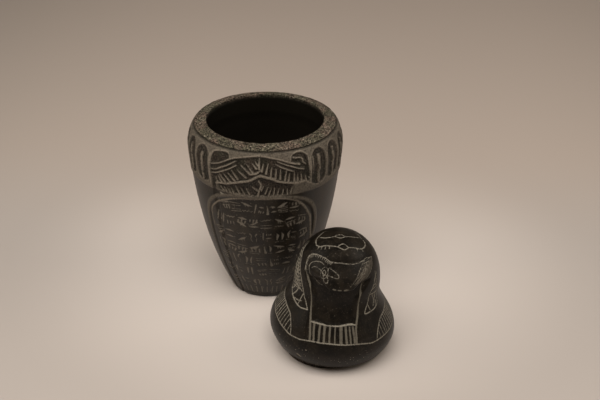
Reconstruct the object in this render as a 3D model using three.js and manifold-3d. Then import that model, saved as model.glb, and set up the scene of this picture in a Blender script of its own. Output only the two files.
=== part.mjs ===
// A carved dark stone canopic jar, open and empty, with its falcon-headed lid set down beside it.
// Millimetres, +Z up. The origin is the centre of the jar's flat foot, and its winged front faces -Y.
// Angles on both pieces are in degrees from the front, growing towards +X; carving is a change of
// radius worked out from the angle and the height.
import * as THREE from 'three';
import Module from 'manifold-3d';

const wasm = await Module();
wasm.setup();

// Jar: outside
const JAR_HEIGHT = 150;
const FOOT_RADIUS = 28.7;
const FOOT_CHAMFER = 1.2;
const BELLY_RADIUS = 61.7;
const BELLY_HEIGHT = 131;
const FLANK_POWER = 1.8;
const FLANK_SWELL = 8;
const SHOULDER_TOP = 145.4;
const SHOULDER_RADIUS = 58;

// Jar: lip and hollow
const MOUTH_RADIUS = 47;
const LIP_LAND = 3;
const LIP_EDGE_RADIUS = 57.6;
const LIP_DROP = 2.5;
const LIP_GROOVE_RADIUS = 57.2;
const LIP_GROOVE_TOP = 146.4;
const WALL = 12;
const FLOOR_THICKNESS = 16;
const FLOOR_CORNER = 7;
const HOLLOW_WIDEST = 47.8;

// Jar: carved band round the shoulder
const BAND_BOTTOM = 110.5;
const BAND_PROUD = 0.7;
const BAND_SUNK = 1.3;
const WING_HALF_ANGLE = 36;
const WING_CREST = 144;
const WING_CREST_FALL = 0.0095;
const FEATHER_EDGE = 117.7;
const FEATHER_PEAK = 11.5;
const FEATHER_PEAK_ANGLE = 11.5;
const FEATHER_TILT = 0.035;
const RIDGE_HALF_WIDTH = 1.2;
const CORNER_START = 21;
const CORNER_END = 35;
const CARVED_EDGE = 1.2;
const ARCH_COUNT = 17;
const ARCH_START = 39.5;
const ARCH_FILL = 0.4;
const ARCH_TOP = 143;
const ARCH_FOOT = 113.5;

// Jar: round-topped panel on the front
const PANEL_HALF_ANGLE = 52.5;
const PANEL_SPRING = 65;
const PANEL_TOP = 111.5;
const PANEL_FOOT = 3;
const PANEL_ROUNDNESS = 3;
const PANEL_FRAME = 0.075;
const PANEL_FRAME_PROUD = 0.5;
const PANEL_SUNK = 0.5;

// Lid: outline about its own axis
const LID_HEIGHT = 100.8;
const HEAD_RADIUS = 32.9;
const HEAD_SPRING = 60;
const HEAD_RISE_POWER = 2.3;
const FLANGE_RADIUS = 48.3;
const FLANGE_HEIGHT = 22;
const UNDERSIDE_HEIGHT = 8;
const UNDERSIDE_RADIUS = 42.8;
const UNDERSIDE_POWER = 1.7;
const PLUG_RADIUS = 34.5;
const PLUG_DEPTH = 7;

// Lid: carving
const FACE_SHIFT = -3;
const RING_HEIGHT = 30.5;
const RING_DEPTH = 0.7;
const COLLAR_TOP = 43;
const COLLAR_SUNK = 0.7;
const LAPPET_GAP = 23.5;
const LAPPET_SPREAD = 0.2;
const LAPPET_OUTER = 50;
const LAPPET_PROUD = 0.7;
const LAPPET_TOP = 56;
const LAPPET_FADE = 14;
const CHEEK_SPREAD = 25;
const CHEEK_START = 58;
const CHEEK_END = 82;
const THROAT_TOP = 72;
const JAW_RISE = 5;
const JAW_START = 12;
const JAW_SPREAD = 22;
const THROAT_SUNK = 2.4;
const BROW_HEIGHT = 89;
const BROW_SINK = 0.3;
const BEAK_HEIGHT = 75;
const BEAK_PROUD = 5.5;
const BEAK_HALF_ANGLE = 27;

// Lid: where and how it stands
const LID_X = 57.5;
const LID_Y = -92.7;
const LID_TURN = 4;
const LEAN_SIDE = 4.6;
const LEAN_FORWARD = 0.9;

// Mesh density: degrees between points round each zone, and millimetres between rows
const ARCH_PITCH = (360 - 2 * ARCH_START) / ARCH_COUNT;
const BAND_STEPS = { fine: 3.3, coarse: ARCH_PITCH / 6, reach: ARCH_START };
const FLANK_STEPS = { fine: 3, coarse: 12, reach: 60 };
const LIP_STEPS = { fine: 5.5, coarse: 6, reach: 76 };
const HOLLOW_STEPS = { fine: 12, coarse: 12, reach: 84 };
const HEAD_STEPS = { fine: 4.5, coarse: 9.5, reach: 76 };
const FLANGE_STEPS = { fine: 6, coarse: 9, reach: 60 };
const CROWN_STEPS = { fine: 10, coarse: 12, reach: 90 };

const radians = THREE.MathUtils.degToRad;
const smooth = (x) => THREE.MathUtils.smoothstep(x, 0, 1);
const line = (distance, halfWidth) => 1 - smooth(Math.abs(distance) / halfWidth);
const between = (x, low, high, blend) => smooth((x - low) / blend) * smooth((high - x) / blend);

// Angles all the way round, close together within `reach` of the front and wider apart behind.
function anglesAround({ fine, coarse, reach }) {
  const frontCount = Math.round(reach / fine);
  const backCount = Math.round((180 - reach) / coarse);
  const half = [];
  for (let i = 1; i <= frontCount; i += 1) half.push((i * reach) / frontCount);
  for (let i = 1; i < backCount; i += 1) half.push(reach + (i * (180 - reach)) / backCount);
  const left = half.map((angle) => -angle).reverse();
  return [-180, ...left, 0, ...half];
}

// Evenly spaced values from `start` to `end`, both included.
function steps(start, end, count) {
  return Array.from({ length: count + 1 }, (_, i) => start + ((end - start) * i) / count);
}

function pole(z) {
  return { angles: [-180], points: [new THREE.Vector3(0, 0, z)] };
}

// One ring of points whose height and radius may change with the angle.
function wavyRing(angles, heightAt, radiusAt) {
  const points = angles.map((angle) => {
    const z = heightAt(angle);
    const radius = radiusAt(angle, z);
    return new THREE.Vector3(radius * Math.sin(radians(angle)), -radius * Math.cos(radians(angle)), z);
  });
  return { angles, points };
}

const carvedRing = (z, angles, radiusAt) => wavyRing(angles, () => z, radiusAt);
const plainRing = (z, angles, radius) => wavyRing(angles, () => z, () => radius);

// Triangles between two neighbouring rings, which may hold different numbers of points.
function joinRings(lower, upper, lowerStart, upperStart, indices) {
  const lowerCount = lower.angles.length > 1 ? lower.angles.length : 0;
  const upperCount = upper.angles.length > 1 ? upper.angles.length : 0;
  const angleAt = (angles, i) => (i < angles.length ? angles[i] : 180);
  let i = 0;
  let j = 0;
  while (i < lowerCount || j < upperCount) {
    const lowerHere = lowerStart + (lowerCount ? i % lowerCount : 0);
    const upperHere = upperStart + (upperCount ? j % upperCount : 0);
    const lowerNext = i < lowerCount ? angleAt(lower.angles, i + 1) : Infinity;
    const upperNext = j < upperCount ? angleAt(upper.angles, j + 1) : Infinity;
    if (lowerNext <= upperNext) {
      indices.push(lowerHere, lowerStart + ((i + 1) % lowerCount), upperHere);
      i += 1;
    } else {
      indices.push(lowerHere, upperStart + ((j + 1) % upperCount), upperHere);
      j += 1;
    }
  }
}

// A closed skin through the rings in order, from the centre of the underside to the last pole.
function skin(rings) {
  const vertices = [];
  const indices = [];
  const starts = [];
  for (const { points } of rings) {
    starts.push(vertices.length / 3);
    for (const point of points) vertices.push(point.x, point.y, point.z);
  }
  for (let k = 0; k + 1 < rings.length; k += 1) {
    joinRings(rings[k], rings[k + 1], starts[k], starts[k + 1], indices);
  }
  const geometry = new THREE.BufferGeometry();
  geometry.setAttribute('position', new THREE.Float32BufferAttribute(vertices, 3));
  geometry.setIndex(indices);
  return geometry;
}

// Jar: outer radius of the plain turned shape
function jarRadius(z) {
  if (z > BELLY_HEIGHT) {
    const rise = (z - BELLY_HEIGHT) / (SHOULDER_TOP - BELLY_HEIGHT);
    return BELLY_RADIUS - (BELLY_RADIUS - SHOULDER_RADIUS) * rise ** 2;
  }
  const t = z / BELLY_HEIGHT;
  const flank = 1 - (1 - t) ** FLANK_POWER;
  return FOOT_RADIUS + (BELLY_RADIUS - FOOT_RADIUS) * flank + FLANK_SWELL * t * (1 - t) * (1 - 2 * t);
}

// Jar: the two lines that bound the upper pair of wings
const wingCrest = (angle) => WING_CREST - WING_CREST_FALL * (angle - 2) ** 2;
function featherEdge(angle) {
  return FEATHER_EDGE + FEATHER_TILT * angle + FEATHER_PEAK / (1 + (angle / FEATHER_PEAK_ANGLE) ** 2);
}

// Jar: sunk feather fields above and below the ridge between the two pairs of wings
function wingCarving(angle, z) {
  const crest = wingCrest(angle);
  const ridge = featherEdge(angle);
  const upper = between(z, ridge + RIDGE_HALF_WIDTH, crest - RIDGE_HALF_WIDTH, CARVED_EDGE);
  const lower = between(z, ARCH_FOOT - CARVED_EDGE, ridge - RIDGE_HALF_WIDTH, CARVED_EDGE);
  const beside = between(Math.abs(angle), CORNER_START, CORNER_END, 3);
  const corner = beside * between(z, crest + RIDGE_HALF_WIDTH, WING_CREST, CARVED_EDGE);
  const inside = smooth((WING_HALF_ANGLE - Math.abs(angle)) / 2);
  return -BAND_SUNK * inside * Math.max(upper, lower, corner);
}

// Jar: a row of round-topped tongues sunk into the rest of the band
function archCarving(angle, z) {
  const fromFront = (angle + 360) % 360;
  const place = (fromFront - ARCH_START) / ARCH_PITCH;
  if (place < 0 || place > ARCH_COUNT) return 0;
  const pitchLength = radians(ARCH_PITCH) * BELLY_RADIUS;
  const halfWidth = ARCH_FILL * pitchLength;
  const across = (place - Math.floor(place) - 0.5) * pitchLength;
  const above = Math.max(0, z - (ARCH_TOP - halfWidth));
  const inside = (halfWidth - Math.hypot(across, above)) / CARVED_EDGE;
  return -BAND_SUNK * smooth(inside) * smooth((z - ARCH_FOOT) / CARVED_EDGE);
}

// Jar: raised frame and sunk field of the front panel
function panelCarving(angle, z) {
  const across = Math.abs(angle) / PANEL_HALF_ANGLE;
  const up = Math.max(0, z - PANEL_SPRING) / (PANEL_TOP - PANEL_SPRING);
  const reach = (across ** PANEL_ROUNDNESS + up ** PANEL_ROUNDNESS) ** (1 / PANEL_ROUNDNESS);
  const frame = between(reach, 1 - PANEL_FRAME, 1, 0.02);
  const field = smooth((1 - PANEL_FRAME - reach) / 0.02);
  return (PANEL_FRAME_PROUD * frame - PANEL_SUNK * field) * smooth((z - PANEL_FOOT) / 2);
}

function jarSurface(angle, z) {
  const band = smooth((z - BAND_BOTTOM) / CARVED_EDGE) * BAND_PROUD;
  const carving = z > BAND_BOTTOM ? wingCarving(angle, z) + archCarving(angle, z) : panelCarving(angle, z);
  return jarRadius(z) + band + carving;
}

// Jar: radius of the hollow, which follows the outside at a steady wall below the shoulder
function hollowRadius(z) {
  return Math.min(HOLLOW_WIDEST, jarRadius(z) - WALL);
}

// Jar: heights of the band's rings, level round the arches and along the wings' lines in front
function bandHeights(angle) {
  const ridge = featherEdge(angle);
  const crest = wingCrest(angle);
  const overCrest = crest + RIDGE_HALF_WIDTH;
  const edge = RIDGE_HALF_WIDTH + CARVED_EDGE;
  const winged = [
    ARCH_FOOT - CARVED_EDGE, ARCH_FOOT, ridge - edge, ridge - RIDGE_HALF_WIDTH,
    ridge + RIDGE_HALF_WIDTH, ridge + edge, (ridge + crest) / 2, crest - edge, crest - RIDGE_HALF_WIDTH,
    ...steps(overCrest, SHOULDER_TOP, 2),
  ];
  const arched = [
    ARCH_FOOT - CARVED_EDGE, ARCH_FOOT, ARCH_FOOT + CARVED_EDGE, ...steps(121, ARCH_TOP - 7, 3),
    ...steps(ARCH_TOP - 4.5, SHOULDER_TOP, 4),
  ];
  const wings = smooth((ARCH_START - Math.abs(angle)) / (ARCH_START - WING_HALF_ANGLE));
  return winged.map((z, i) => THREE.MathUtils.lerp(arched[i], z, wings));
}

function jarGeometry() {
  const band = anglesAround(BAND_STEPS);
  const flank = anglesAround(FLANK_STEPS);
  const lip = anglesAround(LIP_STEPS);
  const hollow = anglesAround(HOLLOW_STEPS);
  const rings = [pole(0), plainRing(0, flank, FOOT_RADIUS - FOOT_CHAMFER)];
  for (const z of steps(FOOT_CHAMFER, PANEL_SPRING, 6)) rings.push(carvedRing(z, flank, jarSurface));
  for (const z of steps(PANEL_SPRING + 8, PANEL_TOP - 19, 2)) rings.push(carvedRing(z, flank, jarSurface));
  for (const z of steps(PANEL_TOP - 16, BAND_BOTTOM, 7)) rings.push(carvedRing(z, flank, jarSurface));
  for (const k of bandHeights(0).keys()) {
    rings.push(wavyRing(band, (angle) => bandHeights(angle)[k], jarSurface));
  }
  rings.push(plainRing(LIP_GROOVE_TOP, lip, LIP_GROOVE_RADIUS));
  rings.push(plainRing(JAR_HEIGHT - LIP_DROP, lip, LIP_EDGE_RADIUS));
  rings.push(plainRing(JAR_HEIGHT, lip, MOUTH_RADIUS + LIP_LAND));
  rings.push(plainRing(JAR_HEIGHT, lip, MOUTH_RADIUS));
  for (const z of steps(BELLY_HEIGHT, FLOOR_THICKNESS + FLOOR_CORNER, 8)) {
    rings.push(plainRing(z, hollow, hollowRadius(z)));
  }
  const cornerRadius = hollowRadius(FLOOR_THICKNESS + FLOOR_CORNER);
  for (const turn of [30, 60, 90]) {
    const inward = FLOOR_CORNER * (1 - Math.cos(radians(turn)));
    const height = FLOOR_THICKNESS + FLOOR_CORNER * (1 - Math.sin(radians(turn)));
    rings.push(plainRing(height, hollow, cornerRadius - inward));
  }
  rings.push(pole(FLOOR_THICKNESS));
  return skin(rings);
}

// Lid: radius of the plain turned bell
function lidRadius(z) {
  if (z < FLANGE_HEIGHT) {
    const down = (FLANGE_HEIGHT - z) / (FLANGE_HEIGHT - UNDERSIDE_HEIGHT);
    return FLANGE_RADIUS - (FLANGE_RADIUS - UNDERSIDE_RADIUS) * down ** UNDERSIDE_POWER;
  }
  if (z < HEAD_SPRING) {
    const down = (HEAD_SPRING - z) / (HEAD_SPRING - FLANGE_HEIGHT);
    return HEAD_RADIUS + ((FLANGE_RADIUS - HEAD_RADIUS) * (1 - Math.cos(Math.PI * down))) / 2;
  }
  const up = Math.min(1, (z - HEAD_SPRING) / (LID_HEIGHT - HEAD_SPRING));
  return HEAD_RADIUS * Math.sqrt(1 - up ** HEAD_RISE_POWER);
}

// Lid: half the angle between the wig's two lappets, which spreads above the throat into the cheeks
function lappetGap(z) {
  const spread = CHEEK_SPREAD * smooth((z - CHEEK_START) / (CHEEK_END - CHEEK_START));
  return LAPPET_GAP + LAPPET_SPREAD * (z - RING_HEIGHT) + spread;
}

// Lid: the falcon's forehead runs out into a short blunt beak over the sunk throat
function faceCarving(angle, z) {
  const off = angle - FACE_SHIFT;
  const gap = lappetGap(z);
  const open = smooth((gap - Math.abs(off)) / 5);
  const jaw = JAW_RISE * smooth((Math.abs(off - 6) - JAW_START) / JAW_SPREAD);
  const above = THROAT_TOP + jaw - z;
  const throat = open * smooth((z - COLLAR_TOP + 1) / 2) * smooth(above / (2 + 0.5 * jaw));
  const lappet = smooth((Math.abs(off) - gap) / 4) * smooth((LAPPET_OUTER - Math.abs(off)) / LAPPET_FADE);
  const hanging = lappet * smooth((z - RING_HEIGHT) / 4) * smooth((LAPPET_TOP - z) / LAPPET_FADE);
  const collar = open * between(z, RING_HEIGHT + 1, COLLAR_TOP, 1.5);
  const brow = line(z - BROW_HEIGHT, 2) * smooth((62 - Math.abs(off)) / 6);
  const width = BEAK_HALF_ANGLE * (1 + 0.6 * smooth((z - BEAK_HEIGHT) / 12));
  const slope = smooth((BROW_HEIGHT + 1 - z) / (BROW_HEIGHT + 1 - BEAK_HEIGHT));
  const chin = smooth((2 - above) / (2.5 + 0.6 * jaw));
  const beak = Math.exp(-((off / width) ** 2)) * slope * chin;
  const sunk = THROAT_SUNK * throat + COLLAR_SUNK * collar + BROW_SINK * brow;
  return BEAK_PROUD * beak + LAPPET_PROUD * hanging - sunk;
}

function lidSurface(angle, z) {
  return lidRadius(z) + faceCarving(angle, z) - RING_DEPTH * line(z - RING_HEIGHT, 1.2);
}

function lidGeometry() {
  const flange = anglesAround(FLANGE_STEPS);
  const head = anglesAround(HEAD_STEPS);
  const crown = anglesAround(CROWN_STEPS);
  const rings = [pole(-PLUG_DEPTH)];
  rings.push(plainRing(-PLUG_DEPTH, flange, PLUG_RADIUS));
  rings.push(plainRing(UNDERSIDE_HEIGHT - 1, flange, PLUG_RADIUS));
  rings.push(plainRing(UNDERSIDE_HEIGHT, flange, UNDERSIDE_RADIUS));
  for (const z of [9.5, 13, 17, 22, 26.5, ...steps(RING_HEIGHT - 1.4, RING_HEIGHT + 1.4, 2)]) {
    rings.push(carvedRing(z, flange, lidSurface));
  }
  for (const z of [...steps(35, THROAT_TOP - 2, 9), ...steps(THROAT_TOP - 0.5, BROW_HEIGHT, 6), 92]) {
    rings.push(carvedRing(z, head, lidSurface));
  }
  for (const z of [95.5, 98.2, 100]) rings.push(carvedRing(z, crown, lidSurface));
  rings.push(pole(LID_HEIGHT));
  return skin(rings);
}

// A three.js geometry as a manifold solid, and back
function toSolid(geometry) {
  const vertProperties = Float32Array.from(geometry.attributes.position.array);
  const triVerts = Uint32Array.from(geometry.index.array);
  return new wasm.Manifold(new wasm.Mesh({ numProp: 3, vertProperties, triVerts }));
}

function toGeometry(solid) {
  const { vertProperties, triVerts } = solid.getMesh();
  const geometry = new THREE.BufferGeometry();
  geometry.setAttribute('position', new THREE.Float32BufferAttribute(vertProperties, 3));
  geometry.setIndex(Array.from(triVerts));
  return geometry;
}

// Lid: leaned, then cut off flat where it stands on the ground
function standingLid() {
  const leaning = lidGeometry();
  leaning.applyMatrix4(new THREE.Matrix4().makeRotationX(radians(LEAN_FORWARD)));
  leaning.applyMatrix4(new THREE.Matrix4().makeRotationY(radians(LEAN_SIDE)));
  const size = 4 * FLANGE_RADIUS;
  const ground = new THREE.BoxGeometry(size, size, 2 * PLUG_DEPTH);
  ground.translate(0, 0, -PLUG_DEPTH);
  return toGeometry(toSolid(leaning).subtract(toSolid(weld(ground))));
}

// A box's corners, which three.js repeats for each face, welded into eight
function weld(geometry) {
  const corners = [];
  const places = new Map();
  const position = geometry.attributes.position;
  const welded = Array.from(geometry.index.array, (index) => {
    const corner = new THREE.Vector3().fromBufferAttribute(position, index);
    const key = corner.toArray().join();
    if (!places.has(key)) {
      places.set(key, corners.length / 3);
      corners.push(...corner.toArray());
    }
    return places.get(key);
  });
  const result = new THREE.BufferGeometry();
  result.setAttribute('position', new THREE.Float32BufferAttribute(corners, 3));
  result.setIndex(welded);
  return result;
}

const polishedStone = new THREE.MeshStandardMaterial({ color: 0x2b2621, roughness: 0.42, metalness: 0 });
const workedStone = new THREE.MeshStandardMaterial({ color: 0x27231f, roughness: 0.38, metalness: 0 });

const jar = new THREE.Mesh(jarGeometry(), polishedStone);
jar.name = 'jar';

const lid = new THREE.Mesh(standingLid(), workedStone);
lid.name = 'falcon_lid';

const lidPlace = new THREE.Group();
lidPlace.position.set(LID_X, LID_Y, 0);
lidPlace.rotation.z = radians(LID_TURN);
lidPlace.add(lid);

const canopicJar = new THREE.Group();
canopicJar.add(jar, lidPlace);

export default canopicJar;
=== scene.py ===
"""A carved dark stone canopic jar, open and empty, with its falcon-headed lid set down beside it.

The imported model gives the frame: where both pieces stand and how big they are. Here each piece is carved
again, finely: a closed skin of rings is turned to the piece's outline, the relief is cut into it from
strokes drawn on the unrolled surface, and the same strokes tell the stone's finish where it is polished,
rubbed, raw or cut. Lengths are in millimetres and angles in degrees from the piece's front, growing towards
+X, until a mesh is made in metres.
"""

import logging
import math
from dataclasses import dataclass, field
from enum import Enum
from typing import Callable, Iterable, Sequence

import bpy
import numpy as np
from mathutils import Euler, Matrix, Vector


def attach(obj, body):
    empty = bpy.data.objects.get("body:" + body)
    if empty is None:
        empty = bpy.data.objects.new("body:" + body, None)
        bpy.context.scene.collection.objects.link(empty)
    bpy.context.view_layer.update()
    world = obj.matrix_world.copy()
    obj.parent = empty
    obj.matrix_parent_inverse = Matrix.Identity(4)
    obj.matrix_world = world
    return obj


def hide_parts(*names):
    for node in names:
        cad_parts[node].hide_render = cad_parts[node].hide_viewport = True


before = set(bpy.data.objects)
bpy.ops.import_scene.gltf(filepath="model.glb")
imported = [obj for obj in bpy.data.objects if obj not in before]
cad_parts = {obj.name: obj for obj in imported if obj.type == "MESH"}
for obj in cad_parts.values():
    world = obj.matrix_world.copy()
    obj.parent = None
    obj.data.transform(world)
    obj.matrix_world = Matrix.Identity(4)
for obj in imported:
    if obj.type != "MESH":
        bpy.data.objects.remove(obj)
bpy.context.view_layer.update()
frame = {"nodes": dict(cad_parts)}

LOG = logging.getLogger("canopic_jar")
MM = 0.001
FAR = 8.0

Array = np.ndarray
Point = tuple[float, float]


def smooth(x: Array) -> Array:
    """Ease from 0 to 1 as x goes from 0 to 1."""
    t = np.clip(x, 0.0, 1.0)
    return t * t * (3.0 - 2.0 * t)


def hill(distance: Array, half_width: float) -> Array:
    """One on a line, falling to 0 at half_width from it."""
    return 1.0 - smooth(np.abs(distance) / half_width)


def between(x: Array, low: Array | float, high: Array | float, blend: float) -> Array:
    """One between low and high, easing in and out over blend."""
    return smooth((x - low) / blend) * smooth((high - x) / blend)


def bend(points: Sequence[Point], parts: int = 6) -> Array:
    """A smooth line through a few points.

    Args:
        points: The points that shape the line, in order.
        parts: How many pieces each span between two points is cut into.

    Returns:
        The points along the line, one row each.
    """
    p = np.array(points, float)
    if len(p) < 3:
        return p
    p = np.vstack([2 * p[0] - p[1], p, 2 * p[-1] - p[-2]])
    t = np.linspace(0.0, 1.0, parts, endpoint=False)[:, None]
    spans = [
        0.5 * (2 * b + (c - a) * t + (2 * a - 5 * b + 4 * c - d) * t**2 + (3 * b - a - 3 * c + d) * t**3)
        for a, b, c, d in zip(p, p[1:], p[2:], p[3:])
    ]
    return np.vstack([*spans, p[-2:-1]])


@dataclass(frozen=True)
class Lumps:
    """Smooth seeded unevenness in space.

    Attributes:
        size: Distance between lumps in millimetres.
        seed: Seed of the random table behind it.
    """

    size: float
    seed: int
    CELLS = 32

    def at(self, points: Array) -> Array:
        """Values between -1 and 1 at the points, one row each."""
        table = np.random.default_rng(self.seed).uniform(-1.0, 1.0, (self.CELLS,) * 3)
        place = points / self.size + 0.37 * self.seed
        base = np.floor(place).astype(int)
        t = smooth(place - base)
        value = np.zeros(len(points))
        for corner in np.ndindex(2, 2, 2):
            weight = np.prod(np.where(corner, t, 1.0 - t), axis=1)
            x, y, z = ((base + corner) % self.CELLS).T
            value += weight * table[x, y, z]
        return value


@dataclass
class Chart:
    """A carved surface unrolled, where a distance is in millimetres.

    Attributes:
        across: Place of each point sideways, in radians round the piece or in millimetres.
        up: Place of each point along the outline, in millimetres.
        scale: Millimetres for each unit across, at each point.
        place: Turns drawn points into chart points.
        turn: What across wraps round at, or 0 where it doesn't.
    """

    across: Array
    up: Array
    scale: Array
    place: Callable[[Array], Array]
    turn: float = 0.0

    def sideways(self, chosen: Array, start: float) -> Array:
        """Signed distance sideways from `start`, the short way round."""
        off = self.across[chosen] - start
        if self.turn:
            off = (off + self.turn / 2) % self.turn - self.turn / 2
        return off * self.scale[chosen]

    def stroke(self, points: Sequence[Point] | Array, widths: Sequence[float]) -> tuple[Array, Array]:
        """Distance from the edge of one tapered stroke.

        Args:
            points: The points that the stroke passes through, as drawn.
            widths: Its width at evenly spaced places from its first end to its last.

        Returns:
            The indices of the points near the stroke, and their distances, negative inside it.
        """
        path = self.place(np.asarray(points, float))
        half = np.interp(np.linspace(0, 1, len(path)), np.linspace(0, 1, len(widths)), widths) / 2
        reach = half.max() + FAR / 4
        chosen = np.flatnonzero((self.up > path[:, 1].min() - reach) & (self.up < path[:, 1].max() + reach))
        middle = path[:, 0].mean()
        span = np.abs(path[:, 0] - middle).max() * self.scale[chosen] + reach
        chosen = chosen[np.abs(self.sideways(chosen, middle)) < span]
        nearest = np.full(len(chosen), FAR)
        for (ax, ay), (bx, by), wa, wb in zip(path, path[1:], half, half[1:]):
            x = self.sideways(chosen, ax)
            y = self.up[chosen] - ay
            dx = (bx - ax) * self.scale[chosen]
            dy = by - ay
            t = np.clip((x * dx + y * dy) / np.maximum(dx * dx + dy * dy, 1e-9), 0.0, 1.0)
            gap = np.hypot(x - t * dx, y - t * dy) - (wa + (wb - wa) * t)
            nearest = np.minimum(nearest, gap)
        return chosen, nearest

    def layer(self, strokes: Iterable[tuple[Sequence[Point] | Array, Sequence[float]]]) -> Array:
        """Distance of every point from the nearest edge of many strokes, negative inside one."""
        distance = np.full(len(self.across), FAR)
        for points, widths in strokes:
            chosen, gap = self.stroke(points, widths)
            distance[chosen] = np.minimum(distance[chosen], gap)
        return distance


@dataclass(frozen=True)
class Spacing:
    """How closely points stand round a ring: fine in front, easing to coarse behind.

    Attributes:
        fine: Degrees between points within `reach` of the front.
        coarse: Degrees between points behind.
        reach: Half the angle of the fine stretch.
        ease: Degrees over which the spacing changes.
    """

    fine: float
    coarse: float
    reach: float = 180.0
    ease: float = 20.0

    def angles(self) -> Array:
        """Angles round one ring from -180, closing on itself."""
        fine_steps = np.linspace(0.0, 180.0, 1441)
        gap = self.fine + (self.coarse - self.fine) * smooth((fine_steps - self.reach) / self.ease)
        count = np.concatenate([[0.0], np.cumsum(0.125 / ((gap[1:] + gap[:-1]) / 2))])
        half = np.interp(np.linspace(0.0, count[-1], round(count[-1]) + 1), count, fine_steps)
        return np.concatenate([-half[:0:-1], half[:-1]])


@dataclass
class Skin:
    """A closed skin of rings, from the middle of the underside to the last pole.

    Attributes:
        angles: Angles of each ring's points in degrees; a pole has one.
        heights: Height of each ring.
        radii: Plain radius of each ring.
    """

    angles: list[Array] = field(default_factory=list)
    heights: list[float] = field(default_factory=list)
    radii: list[float] = field(default_factory=list)

    def ring(self, angles: Array, height: float, radius: float) -> None:
        """Add one ring."""
        self.angles.append(angles)
        self.heights.append(height)
        self.radii.append(radius)

    def pole(self, height: float) -> None:
        """Add one point on the axis."""
        self.ring(np.array([-180.0]), height, 0.0)

    def spread(self, values: Sequence[float]) -> Array:
        """One value for each ring as one for each point."""
        return np.concatenate([np.full(len(a), v) for a, v in zip(self.angles, values)])

    def outline_normals(self) -> tuple[Array, Array]:
        """The outward direction of the plain outline at each point, as (radius part, height part)."""
        along_r = np.gradient(np.array(self.radii))
        along_z = np.gradient(np.array(self.heights))
        length = np.maximum(np.hypot(along_r, along_z), 1e-9)
        return self.spread(along_z / length), self.spread(-along_r / length)

    def lengths(self) -> Array:
        """Length along the outline from the first ring to each point."""
        steps = np.hypot(np.diff(self.radii), np.diff(self.heights))
        return self.spread(np.concatenate([[0.0], np.cumsum(steps)]))

    def faces(self) -> list[tuple[int, ...]]:
        """Quads between rings that match, and triangles where the number of points changes."""
        starts = np.concatenate([[0], np.cumsum([len(a) for a in self.angles])])
        faces: list[tuple[int, ...]] = []
        for k in range(len(self.angles) - 1):
            lower, upper = self.angles[k], self.angles[k + 1]
            a, b = int(starts[k]), int(starts[k + 1])
            if lower is upper:
                n = len(lower)
                faces += [(a + i, a + (i + 1) % n, b + (i + 1) % n, b + i) for i in range(n)]
            else:
                faces += self.stitch(lower, upper, a, b)
        return faces

    @staticmethod
    def stitch(lower: Array, upper: Array, a: int, b: int) -> list[tuple[int, ...]]:
        """Triangles between two rings with different numbers of points.

        Args:
            lower: Angles of the first ring.
            upper: Angles of the next ring.
            a: Index of the first ring's first point.
            b: Index of the next ring's first point.

        Returns:
            The triangles, facing out.
        """
        n, m = len(lower), len(upper)
        lower_ends = np.append(lower[1:], 180.0) if n > 1 else np.array([])
        upper_ends = np.append(upper[1:], 180.0) if m > 1 else np.array([])
        faces: list[tuple[int, ...]] = []
        i = j = 0
        while i < len(lower_ends) or j < len(upper_ends):
            low = lower_ends[i] if i < len(lower_ends) else math.inf
            high = upper_ends[j] if j < len(upper_ends) else math.inf
            if low <= high:
                faces.append((a + i % n, a + (i + 1) % n, b + j % m))
                i += 1
            else:
                faces.append((a + i % n, b + (j + 1) % m, b + j % m))
                j += 1
        return faces

    def mesh(self, name: str, points: Array, masks: dict[str, Array]) -> bpy.types.Object:
        """The finished piece.

        Args:
            name: Name of the object.
            points: Carved places of all points, in millimetres.
            masks: Named values for each point, which its finish reads.

        Returns:
            The new object, in metres, linked to the scene.
        """
        data = bpy.data.meshes.new(name)
        data.from_pydata((points * MM).tolist(), [], self.faces())
        data.shade_smooth()
        for label, values in masks.items():
            layer = data.attributes.new(label, "FLOAT", "POINT")
            layer.data.foreach_set("value", np.asarray(values, np.float32))
        self.unwrap(data)
        piece = bpy.data.objects.new(name, data)
        bpy.context.scene.collection.objects.link(piece)
        return piece

    def unwrap(self, data: bpy.types.Mesh) -> None:
        """Lay the skin out flat once: the angle across, the length along the outline up."""
        around = (np.concatenate(self.angles) + 180.0) / 360.0
        length = self.lengths()
        up = length / length[-1]
        corners = np.empty(len(data.loops), np.int32)
        data.loops.foreach_get("vertex_index", corners)
        starts = np.empty(len(data.polygons), np.int32)
        totals = np.empty(len(data.polygons), np.int32)
        data.polygons.foreach_get("loop_start", starts)
        data.polygons.foreach_get("loop_total", totals)
        owner = np.repeat(np.arange(len(starts)), totals)
        x = around[corners]
        widest = np.maximum.reduceat(x, starts)[owner]
        x = np.where(widest - x > 0.5, x + 1.0, x)
        pole = self.spread(self.radii)[corners] == 0.0
        rest = np.add.reduceat(np.where(pole, 0.0, x), starts) / np.add.reduceat(~pole, starts)
        x = np.where(pole, rest[owner], x)
        layer = data.uv_layers.new(name="OFBake")
        layer.uv.foreach_set("vector", np.column_stack([x / 1.02, up[corners]]).astype(np.float32).ravel())


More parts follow.
